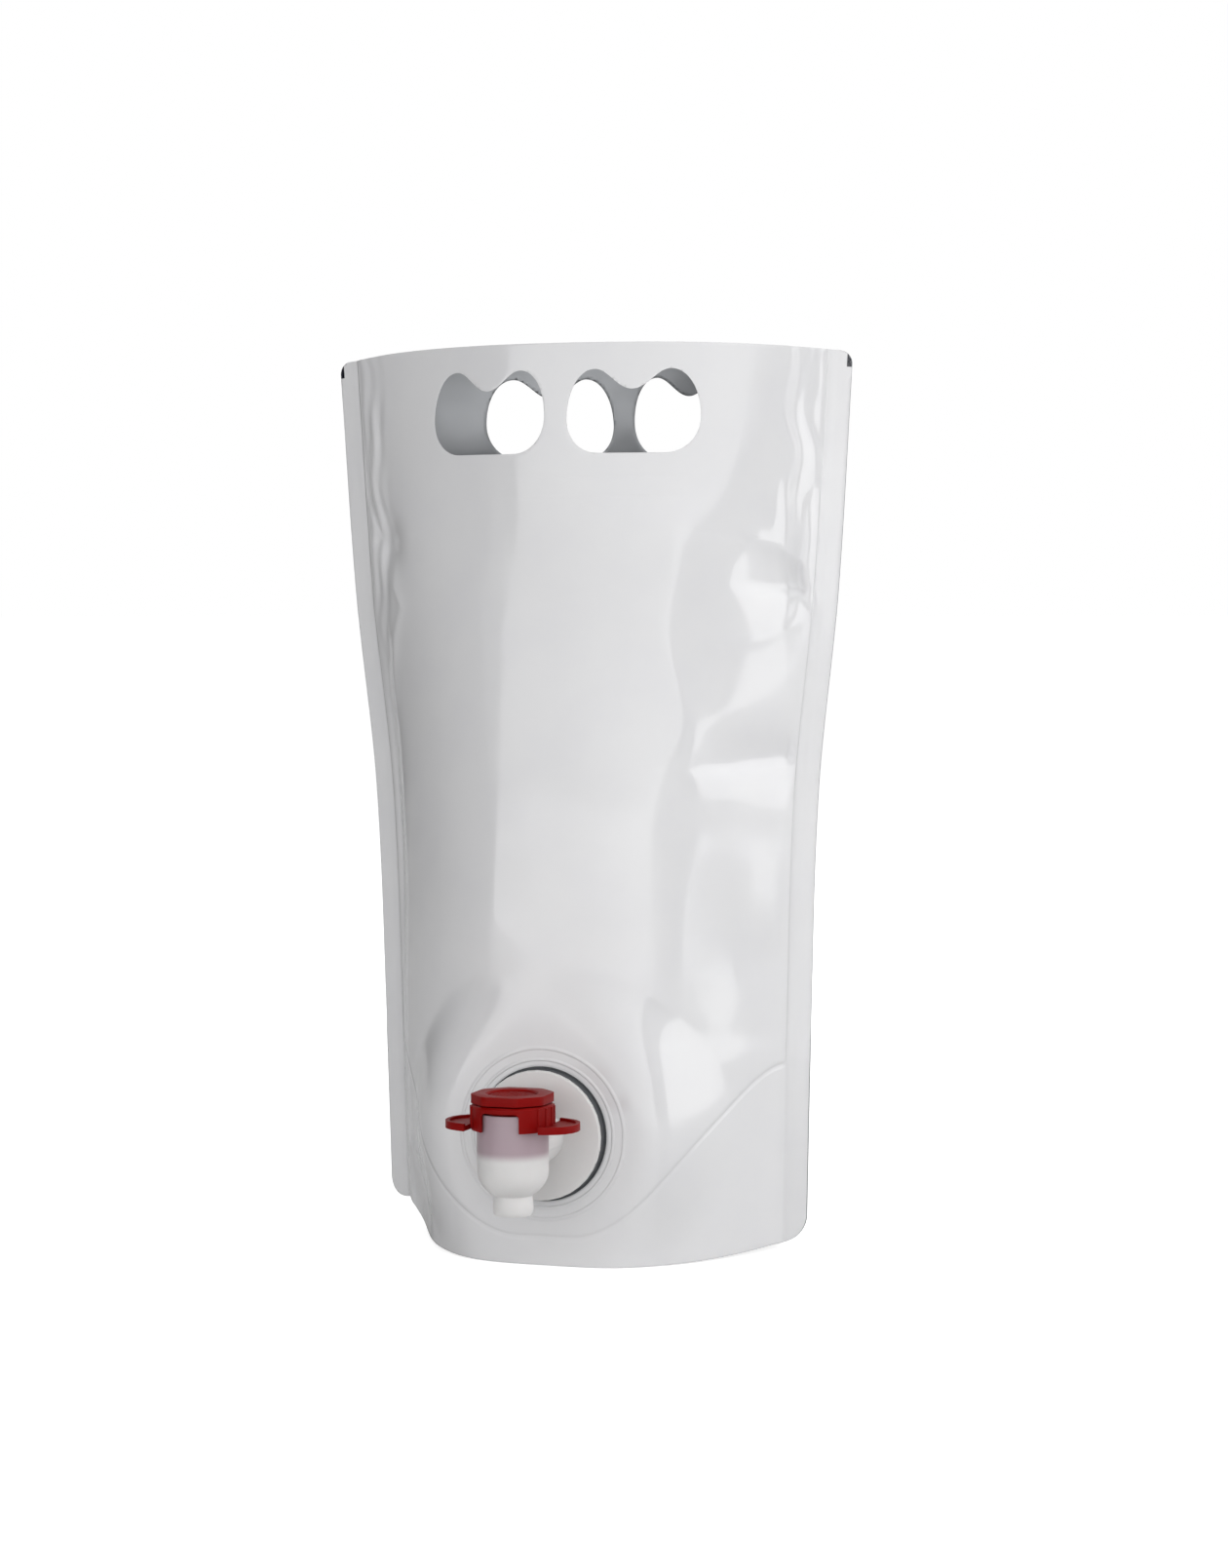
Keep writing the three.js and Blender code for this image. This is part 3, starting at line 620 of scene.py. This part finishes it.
def backPanel():
    holes = [handHoleOutline(-1), handHoleOutline(1)]
    return trimmedWeb("filmBack", 1, [flatFromSeen(1, hole[:, 0], hole[:, 1]) for hole in holes], [])


gusset = {
    "legs": 24,             # rows and columns of the mesh
    "arch": 60,
    "columns": 140,
    "inset": 1.0,           # from the panels' side edges
    "archMap": 30.0,        # half the arch's length on the flat map
}


# The gusset: rows run up the front leg, over the arch and down the back leg. A leg lies against
# its panel; the arch is the straight line between the legs' tops, raised by a parabola
def gussetWeb():
    edge = web["flatWidth"] / 2 - gusset["inset"]
    a = np.linspace(-edge, edge, gusset["columns"])
    depth = web["thickness"] + web["gussetGap"]
    top = sealTop(a)
    front = panelPoint(-1, a, top, depth)
    back = panelPoint(1, a, top, depth)
    rise = 2 * web["thickness"] + web["gussetArch"] * (1 - smooth(np.abs(a), sealLine / 3, sealLine))
    rows, flat = [], []
    lowest = np.maximum(0.0, web["bottomCorner"] - (web["flatWidth"] / 2 - np.abs(a)))
    for share in np.linspace(0, 1, gusset["legs"])[:-1]:
        up = lowest + (top - lowest) * share
        rows.append(panelPoint(-1, a, up, depth))
        flat.append(np.stack([a, up], axis=-1))
    for t in np.linspace(-1, 1, gusset["arch"]):
        lift = np.stack([a * 0, a * 0, rise * (1 - t * t)], axis=-1)
        rows.append(front * (1 - t) / 2 + back * (1 + t) / 2 + lift)
        flat.append(np.stack([a, top + (t + 1) * gusset["archMap"]], axis=-1))
    for share in np.linspace(1, 0, gusset["legs"])[1:]:
        up = lowest + (top - lowest) * share
        rows.append(panelPoint(1, a, up, depth))
        flat.append(np.stack([a, up], axis=-1))
    points = np.concatenate(rows)
    wide, tall = len(a), len(rows)
    corner = (np.arange(tall - 1)[:, None] * wide + np.arange(wide - 1)[None, :]).ravel()
    faces = np.stack([corner, corner + 1, corner + wide + 1, corner + wide], axis=-1)
    obj = newObject("filmGusset", toFrame(points), faces.tolist())
    flat = np.concatenate(flat)
    addFlatMap(obj, flat)
    for name in ("sealEdge", "overSeal", "flangeDistance"):
        addValue(obj, name, np.full(len(flat), farAway))
    addThickness(obj)
    return obj


# Node helpers

def newMaterial(name):
    material = bpy.data.materials.new(name)
    material.use_nodes = True
    material.node_tree.nodes.clear()
    return material, material.node_tree


def addNode(tree, kind, links=None, **settings):
    node = tree.nodes.new(kind)
    for key, value in settings.items():
        setattr(node, key, value)
    for socket, value in (links or {}).items():
        if isinstance(value, bpy.types.NodeSocket):
            tree.links.new(value, node.inputs[socket])
        else:
            node.inputs[socket].default_value = value
    return node


def math2(tree, operation, a, b=0.0):
    return addNode(tree, "ShaderNodeMath", {0: a, 1: b}, operation=operation).outputs[0]


def vectorMath(tree, operation, a, b=(0, 0, 0)):
    return addNode(tree, "ShaderNodeVectorMath", {0: a, 1: b}, operation=operation)


# A smooth step from 0 to 1 between two values
def step(tree, value, low, high):
    links = {"Value": value, "From Min": low, "From Max": high}
    return addNode(tree, "ShaderNodeMapRange", links, interpolation_type="SMOOTHSTEP").outputs[0]


# 1 between two values and 0 outside them, with soft edges as wide as a third of the band
def band(tree, value, low, high):
    soft = (high - low) / 3
    rise, fall = step(tree, value, low, low + soft), step(tree, value, high - soft, high)
    return math2(tree, "SUBTRACT", rise, fall)


# 1 between a rise and a fall, each given by where it starts and ends
def ridge(tree, value, rise, fall):
    before = math2(tree, "SUBTRACT", 1.0, step(tree, value, *fall))
    return math2(tree, "MULTIPLY", step(tree, value, *rise), before)


# The sum of some values, each times its weight
def weighted(tree, *terms):
    total = None
    for value, weight in terms:
        term = math2(tree, "MULTIPLY", value, weight)
        total = term if total is None else math2(tree, "ADD", total, term)
    return total


def mixColour(tree, share, a, b):
    return addNode(tree, "ShaderNodeMix", {0: share, 6: a, 7: b}, data_type="RGBA").outputs[2]


def noise(tree, vector, scale, detail=3.0, roughness=0.5):
    links = {"Vector": vector, "Scale": scale, "Detail": detail, "Roughness": roughness}
    return addNode(tree, "ShaderNodeTexNoise", links).outputs["Fac"]


def surface(tree, links):
    shader = addNode(tree, "ShaderNodeBsdfPrincipled", links)
    out = addNode(tree, "ShaderNodeOutputMaterial")
    tree.links.new(shader.outputs[0], out.inputs[0])
    return shader


def bump(tree, height, distance, under=None):
    links = {"Height": height, "Distance": distance, "Strength": 1.0}
    if under is not None:
        links["Normal"] = under
    return addNode(tree, "ShaderNodeBump", links).outputs[0]


def attribute(tree, name):
    return addNode(tree, "ShaderNodeAttribute", attribute_name=name).outputs["Fac"]


filmLook = {
    "white": (0.80, 0.80, 0.81, 1),
    "shade": (0.785, 0.785, 0.80, 1),
    "ink": (0.012, 0.013, 0.022, 1),
    "silver": (0.37, 0.38, 0.395, 1),
    "silverDark": (0.335, 0.345, 0.36, 1),
    "roughness": 0.13,
    "coat": 0.35,
    "metallic": 0.45,
    "markWide": 1.5,        # the corner marks, mm
    "markTall": 5.0,
    "cockle": 0.0009,       # heights of the bumps, metres
    "silverCockle": 0.0006,
    "grain": 0.000006,
    "relief": 0.00016,
}

# What is pressed into the film: where each form lies, in mm, and its share of the relief
pressing = {
    "sideStep": (0.1, 0.8),             # inward from the side seal's line
    "sideGroove": (-0.9, 0.9),
    "bottomStep": (-0.5, 0.5),          # upward from the bottom seal's line
    "bottomGroove": (-2.0, 1.4),
    "outerRing": ((25.0, 25.5), (25.7, 26.6)),      # outward from the gland's axis
    "innerRing": ((21.7, 22.1), (22.3, 23.0)),
    "lineUps": ((234.3, 235.7), (228.5, 229.7)),    # two lines below the hand holes
    "lineAcross": (-24.0, 47.0),
    "sideShare": 0.4,
    "bottomShare": 1.5,
    "ringShare": 1.3,
    "grooveShare": -0.6,
    "sideGrooveShare": 0.15,            # shares of the grooves
    "lineShare": 0.35,
}


# The height of what is pressed into the film, in shares of the relief
def pressedHeight(tree, across, up):
    seal = attribute(tree, "sealEdge")
    overSeal = attribute(tree, "overSeal")
    flange = attribute(tree, "flangeDistance")
    sideStep = step(tree, seal, *pressing["sideStep"])
    sideGroove = band(tree, seal, *pressing["sideGroove"])
    bottomStep = math2(tree, "MULTIPLY", step(tree, overSeal, *pressing["bottomStep"]), sideStep)
    bottomGroove = math2(tree, "MULTIPLY", band(tree, overSeal, *pressing["bottomGroove"]), sideStep)
    outer, inner = (ridge(tree, flange, *pressing[name]) for name in ("outerRing", "innerRing"))
    rings = math2(tree, "ADD", outer, inner)
    high, low = (band(tree, up, *(end / mapUnit for end in ends)) for ends in pressing["lineUps"])
    reach = band(tree, across, *(end / mapUnit for end in pressing["lineAcross"]))
    lines = math2(tree, "MULTIPLY", math2(tree, "MAXIMUM", high, low), reach)
    grooves = weighted(tree, (bottomGroove, 1.0), (sideGroove, pressing["sideGrooveShare"]),
                       (lines, pressing["lineShare"]))
    return weighted(tree, (sideStep, pressing["sideShare"]), (bottomStep, pressing["bottomShare"]),
                    (rings, pressing["ringShare"]), (grooves, pressing["grooveShare"]))


# White printed film: soft gloss, a slight cockle, pressed seals, and dark marks at the top corners
def filmWhite(marks):
    material, tree = newMaterial("filmWhite" + ("Marked" if marks else ""))
    flat = addNode(tree, "ShaderNodeUVMap", uv_map="flatFilm").outputs[0]
    cockle = noise(tree, flat, 2.6, 2.0, 0.4)
    tone = noise(tree, flat, 5.0, 3.0)
    fineGrain = noise(tree, flat, 210.0, 2.0)
    across, up = addNode(tree, "ShaderNodeSeparateXYZ", {0: flat}).outputs[:2]
    colour = mixColour(tree, step(tree, tone, 0.35, 0.7), filmLook["white"], filmLook["shade"])
    if marks:
        blur = 0.1 / mapUnit
        inner = (web["flatWidth"] / 2 - filmLook["markWide"]) / mapUnit
        low = (web["height"] - filmLook["markTall"]) / mapUnit
        outward = step(tree, math2(tree, "ABSOLUTE", across), inner - blur, inner + blur)
        mark = math2(tree, "MULTIPLY", outward, step(tree, up, low - blur, low + blur))
        colour = mixColour(tree, mark, colour, filmLook["ink"])
    normal = bump(tree, cockle, filmLook["cockle"])
    normal = bump(tree, fineGrain, filmLook["grain"], normal)
    normal = bump(tree, pressedHeight(tree, across, up), filmLook["relief"], normal)
    surface(tree, {
        "Base Color": colour,
        "Roughness": filmLook["roughness"],
        "IOR": 1.5,
        "Coat Weight": filmLook["coat"],
        "Coat Roughness": 0.03,
        "Normal": normal,
    })
    return material


# The film's inner face: the aluminium layer under its clear sealing skin
def filmSilver():
    material, tree = newMaterial("filmSilver")
    flat = addNode(tree, "ShaderNodeUVMap", uv_map="flatFilm").outputs[0]
    cockle = noise(tree, flat, 4.0, 2.0)
    tone = mixColour(tree, cockle, filmLook["silver"], filmLook["silverDark"])
    surface(tree, {
        "Base Color": tone,
        "Metallic": filmLook["metallic"],
        "Roughness": 0.3,
        "Normal": bump(tree, cockle, filmLook["silverCockle"]),
    })
    return material


# Moulded plastic, or steel: one colour with a faint mottle, and a fine skin
def moulded(name, colour, darker, roughness, extra=None):
    material, tree = newMaterial(name)
    place = addNode(tree, "ShaderNodeTexCoord").outputs["Object"]
    mottle = noise(tree, place, 260.0, 3.0)
    skin = noise(tree, place, 2600.0, 2.0)
    links = {
        "Base Color": mixColour(tree, mottle, colour, darker),
        "Roughness": roughness,
        "Normal": bump(tree, skin, tapLook["skin"]),
    }
    links.update(extra or {})
    surface(tree, links)
    return material


tapLook = {
    "white": (0.79, 0.78, 0.775, 1),
    "whiteDark": (0.76, 0.75, 0.745, 1),
    "pink": (0.445, 0.345, 0.385, 1),
    "red": (0.255, 0.0022, 0.0018, 1),
    "redDark": (0.215, 0.0018, 0.0015, 1),
    "redGloss": 0.1,
    # The gland is painted dark grey so that the narrow gap round the tap's disc shows dark: painted shade
    "glandGapShade": (0.085, 0.09, 0.098, 1),
    "glandGapShadeDark": (0.07, 0.074, 0.08, 1),
    "stem": (0.7, 0.7, 0.69, 1),
    "stemDark": (0.64, 0.64, 0.63, 1),
    "soft": (0.6, 0.58, 0.55, 1),
    "softDark": (0.52, 0.5, 0.48, 1),
    "steel": (0.6, 0.61, 0.63, 1),
    "steelDark": (0.5, 0.51, 0.53, 1),
    "skin": 0.00002,        # heights of the bumps, metres
    "stipple": 0.00025,
    "sleeveEnd": -2.1,      # the sleeve inside ends here, mm from the swivel axis
    "sleeveFade": 1.6,
    "bore": 10.6,           # only the barrel shows it
    "boreFade": 0.3,
}


# Milky polypropylene: light goes some way in, and the red sleeve shows pink through the barrel
def milky():
    material, tree = newMaterial("milkyPlastic")
    place = addNode(tree, "ShaderNodeTexCoord").outputs["Object"]
    parts = addNode(tree, "ShaderNodeSeparateXYZ", {0: place}).outputs
    low = barrelCentre.z + tapLook["sleeveEnd"] * mm
    fade = tapLook["sleeveFade"] * mm
    inside = step(tree, parts[2], low - fade, low + fade)
    dx = math2(tree, "SUBTRACT", parts[0], barrelCentre.x)
    dy = math2(tree, "SUBTRACT", parts[1], barrelCentre.y)
    square = math2(tree, "ADD", math2(tree, "MULTIPLY", dx, dx), math2(tree, "MULTIPLY", dy, dy))
    radius = math2(tree, "SQRT", square)
    outside = step(tree, radius, tapLook["bore"] * mm, (tapLook["bore"] + tapLook["boreFade"]) * mm)
    pink = math2(tree, "MULTIPLY", inside, math2(tree, "SUBTRACT", 1.0, outside))
    mottle = noise(tree, place, 300.0, 3.0)
    white = mixColour(tree, mottle, tapLook["white"], tapLook["whiteDark"])
    skin = noise(tree, place, 1800.0, 2.0)
    surface(tree, {
        "Base Color": mixColour(tree, pink, white, tapLook["pink"]),
        "Roughness": 0.36,
        "Subsurface Weight": 0.35,
        "Subsurface Radius": (0.004, 0.0035, 0.0035),
        "Subsurface Scale": 0.5,
        "Normal": bump(tree, skin, tapLook["skin"]),
    })
    return material


# The pad's stipple: small raised dots inside a plain rim
def stippledRed():
    material, tree = newMaterial("stippledRed")
    place = addNode(tree, "ShaderNodeTexCoord").outputs["Object"]
    shift = (-barrelCentre.x, -barrelCentre.y, 0)
    centred = addNode(tree, "ShaderNodeMapping", {0: place, 1: shift}).outputs[0]
    dots = addNode(tree, "ShaderNodeTexVoronoi", {"Vector": centred, "Scale": 1300.0}).outputs["Distance"]
    mottle = noise(tree, place, 260.0, 3.0)
    surface(tree, {
        "Base Color": mixColour(tree, mottle, tapLook["red"], tapLook["redDark"]),
        "Roughness": 0.5,
        "Specular IOR Level": tapLook["redGloss"],
        "Normal": bump(tree, dots, tapLook["stipple"]),
    })
    return material


rounding = {
    "merge": 1e-6,          # metres
    "flat": 0.5,            # degrees up to which faces are joined
    "edge": 28.0,           # degrees from which an edge is rounded
    "segments": 3,
}


# A hard piece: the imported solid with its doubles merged, its flats joined and its edges rounded
def roundedCopy(name, node, radius, material):
    source = next(obj for obj in bpy.data.objects if obj.type == "MESH" and obj.name == node)
    bm = bmesh.new()
    bm.from_mesh(source.data)
    bmesh.ops.remove_doubles(bm, verts=bm.verts, dist=rounding["merge"])
    flats = math.radians(rounding["flat"])
    bmesh.ops.dissolve_limit(bm, angle_limit=flats, verts=bm.verts, edges=bm.edges)
    mesh = bpy.data.meshes.new(name)
    bm.to_mesh(mesh)
    bm.free()
    obj = bpy.data.objects.new(name, mesh)
    bpy.context.collection.objects.link(obj)
    mesh.materials.append(material)
    mesh.polygons.foreach_set("use_smooth", np.ones(len(mesh.polygons), bool))
    bevel = obj.modifiers.new("roundedEdges", "BEVEL")
    bevel.width = radius * mm
    bevel.segments = rounding["segments"]
    bevel.limit_method = "ANGLE"
    bevel.angle_limit = math.radians(rounding["edge"])
    bevel.harden_normals = True
    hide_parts(node)
    return obj


def dressFilm():
    silver = filmSilver()
    marked, plain = filmWhite(True), filmWhite(False)
    for maker, node in ((frontPanel, "front_panel"), (backPanel, "back_panel")):
        piece = maker()
        piece.data.materials.append(marked)
        piece.data.materials.append(silver)
        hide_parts(node)
        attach(piece, "pouch")
        print("film:", piece.name, len(piece.data.polygons))
    folded = gussetWeb()
    folded.data.materials.append(silver)
    folded.data.materials.append(plain)
    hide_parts("bottom_gusset")
    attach(folded, "pouch")
    print("film:", folded.name, len(folded.data.polygons))


def dressTap():
    red = moulded("redPlastic", tapLook["red"], tapLook["redDark"], 0.42,
                   extra={"Specular IOR Level": tapLook["redGloss"]})
    # The gland's dark grey is painted shade for the narrow gap between the film hole and the tap's disc
    glandGapShade = moulded("glandPaintedGapShade", tapLook["glandGapShade"], tapLook["glandGapShadeDark"], 0.5)
    stem = moulded("stemWhite", tapLook["stem"], tapLook["stemDark"], 0.4)
    soft = moulded("softPlug", tapLook["soft"], tapLook["softDark"], 0.7)
    steel = moulded("springSteel", tapLook["steel"], tapLook["steelDark"], 0.25, extra={"Metallic": 1.0})
    pieces = (              # name, node, radius of the edges in mm, material, body, slot
        ("tapBody", "tap_body", 0.25, milky(), "tap", "tap_white"),
        ("glandRing", "gland", 0.2, glandGapShade, "pouch", "gland"),
        ("wingCollar", "wing_collar", 0.22, red, "tap", "tap_red"),
        ("bezelPlate", "bezel_plate", 0.3, red, "tap", "tap_red"),
        ("pressPad", "press_pad", 0.2, stippledRed(), "button", "tap_red"),
    )
    for name, node, radius, material, body, slot in pieces:
        piece = roundedCopy(name, node, radius, material)
        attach(piece, body)
    spring = roundedCopy("returnSpring", "return_spring", 0.08, steel)
    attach(spring, "tap")
    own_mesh(spring)
    for node, material in (("valve_sleeve", red), ("valve_stem", stem), ("valve_plug", soft)):
        bpy.data.objects[node].material_slots[0].material = material
    print("tap dressed")


dressFilm()
dressTap()

studio = {
    "floor": (0.62, 0.62, 0.62, 1),
    "floorHalf": 12.0,      # metres
    "glowNear": 0.84,       # how white the camera sees the floor near the pouch, and far off
    "glowFar": 1.0,
    "glowReach": (0.12, 0.75),
    "backdropAt": 199.0,    # degrees, behind the pouch as the camera sees it
    "backdropReach": (8.0, 22.0),
    "frontFloorAt": 5.0,    # the floor in front, which reflections also see white
    "frontFloorReach": (35.0, 60.0),
    "world": 0.05,
    "aimHeight": 0.14,
    "lamps": (              # name, azimuth, elevation, distance, width, height, watts
        ("frontPanel", 5, 12, 1.4, 2.5, 1.6, 20.5),
        ("rightPanel", 98, 10, 1.2, 1.2, 1.8, 15.0),
        ("backPanel", 206, 40, 1.4, 2.0, 1.0, 9.5),
        ("topPanel", 30, 80, 1.3, 0.9, 0.9, 2.6),
    ),
}


# A lamp panel that faces a point at mid height of the pouch
def lampPanel(name, azimuth, elevation, distance, width, height, power):
    data = bpy.data.lights.new(name, "AREA")
    data.shape = "RECTANGLE"
    data.size, data.size_y = width, height
    data.energy = power
    obj = bpy.data.objects.new(name, data)
    bpy.context.collection.objects.link(obj)
    a, e = math.radians(azimuth), math.radians(elevation)
    away = Vector((math.sin(a) * math.cos(e), -math.cos(a) * math.cos(e), math.sin(e)))
    obj.location = Vector((0, pouchY, studio["aimHeight"])) + away * distance
    obj.rotation_mode = "QUATERNION"
    obj.rotation_quaternion = (-away).to_track_quat("-Z", "Y")


# 1 where a direction is within the first angle of an azimuth, falling to 0 at the second
def towards(tree, direction, azimuth, reach):
    turn = math.radians(azimuth)
    aim = (math.sin(turn), -math.cos(turn), 0)
    flat = vectorMath(tree, "MULTIPLY", direction, (1, 1, 0)).outputs[0]
    unit = vectorMath(tree, "NORMALIZE", flat).outputs[0]
    facing = vectorMath(tree, "DOT_PRODUCT", unit, aim).outputs["Value"]
    full, none = (math.cos(math.radians(angle)) for angle in reach)
    return step(tree, facing, none, full)


# Rays that count as seeing the white backdrop: the camera's, those through clear parts, and
# reflections that look its way, or at the floor in front
def seesBackdrop(tree, direction, floorToo=False):
    path = addNode(tree, "ShaderNodeLightPath").outputs
    share = towards(tree, direction, studio["backdropAt"], studio["backdropReach"])
    if floorToo:
        front = towards(tree, direction, studio["frontFloorAt"], studio["frontFloorReach"])
        share = math2(tree, "MAXIMUM", share, front)
    reflected = math2(tree, "MULTIPLY", path["Is Glossy Ray"], share)
    direct = math2(tree, "MAXIMUM", path["Is Camera Ray"], path["Is Transmission Ray"])
    return math2(tree, "MAXIMUM", direct, reflected)


# The floor is pale, but the rays that count as seeing the backdrop see it nearly white, darkened
# by its shadow
def floorMaterial():
    material, tree = newMaterial("paleFloor")
    diffuse = addNode(tree, "ShaderNodeBsdfDiffuse", {"Color": studio["floor"]})
    place = addNode(tree, "ShaderNodeTexCoord").outputs["Object"]
    away = vectorMath(tree, "LENGTH", place).outputs["Value"]
    far = step(tree, away, *studio["glowReach"])
    rise = math2(tree, "MULTIPLY", far, studio["glowFar"] - studio["glowNear"])
    strength = math2(tree, "ADD", rise, studio["glowNear"])
    glow = addNode(tree, "ShaderNodeEmission", {"Color": (1, 1, 1, 1), "Strength": strength})
    both = addNode(tree, "ShaderNodeAddShader", {0: diffuse.outputs[0], 1: glow.outputs[0]})
    seen = seesBackdrop(tree, place, floorToo=True)
    mix = addNode(tree, "ShaderNodeMixShader", {0: seen, 1: diffuse.outputs[0], 2: both.outputs[0]})
    out = addNode(tree, "ShaderNodeOutputMaterial")
    tree.links.new(mix.outputs[0], out.inputs[0])
    return material


def makeStudio():
    half = studio["floorHalf"]
    corners = [(x * half, y * half, floorZ) for x, y in ((-1, -1), (1, -1), (1, 1), (-1, 1))]
    floor = newObject("floor", corners, [(0, 1, 2, 3)])
    floor.data.materials.append(floorMaterial())
    world = bpy.data.worlds.new("studioWorld")
    bpy.context.scene.world = world
    world.use_nodes = True
    tree = world.node_tree
    tree.nodes.clear()
    direction = addNode(tree, "ShaderNodeTexCoord").outputs["Generated"]
    soft = addNode(tree, "ShaderNodeBackground", {"Color": (1, 1, 1, 1), "Strength": studio["world"]})
    white = addNode(tree, "ShaderNodeBackground", {"Color": (1, 1, 1, 1), "Strength": 1.0})
    seen = seesBackdrop(tree, direction)
    mix = addNode(tree, "ShaderNodeMixShader", {0: seen, 1: soft.outputs[0], 2: white.outputs[0]})
    out = addNode(tree, "ShaderNodeOutputWorld")
    tree.links.new(mix.outputs[0], out.inputs[0])
    for lamp in studio["lamps"]:
        lampPanel(*lamp)


makeStudio()
bpy.context.scene.view_settings.view_transform = "Standard"
print("studio lit")
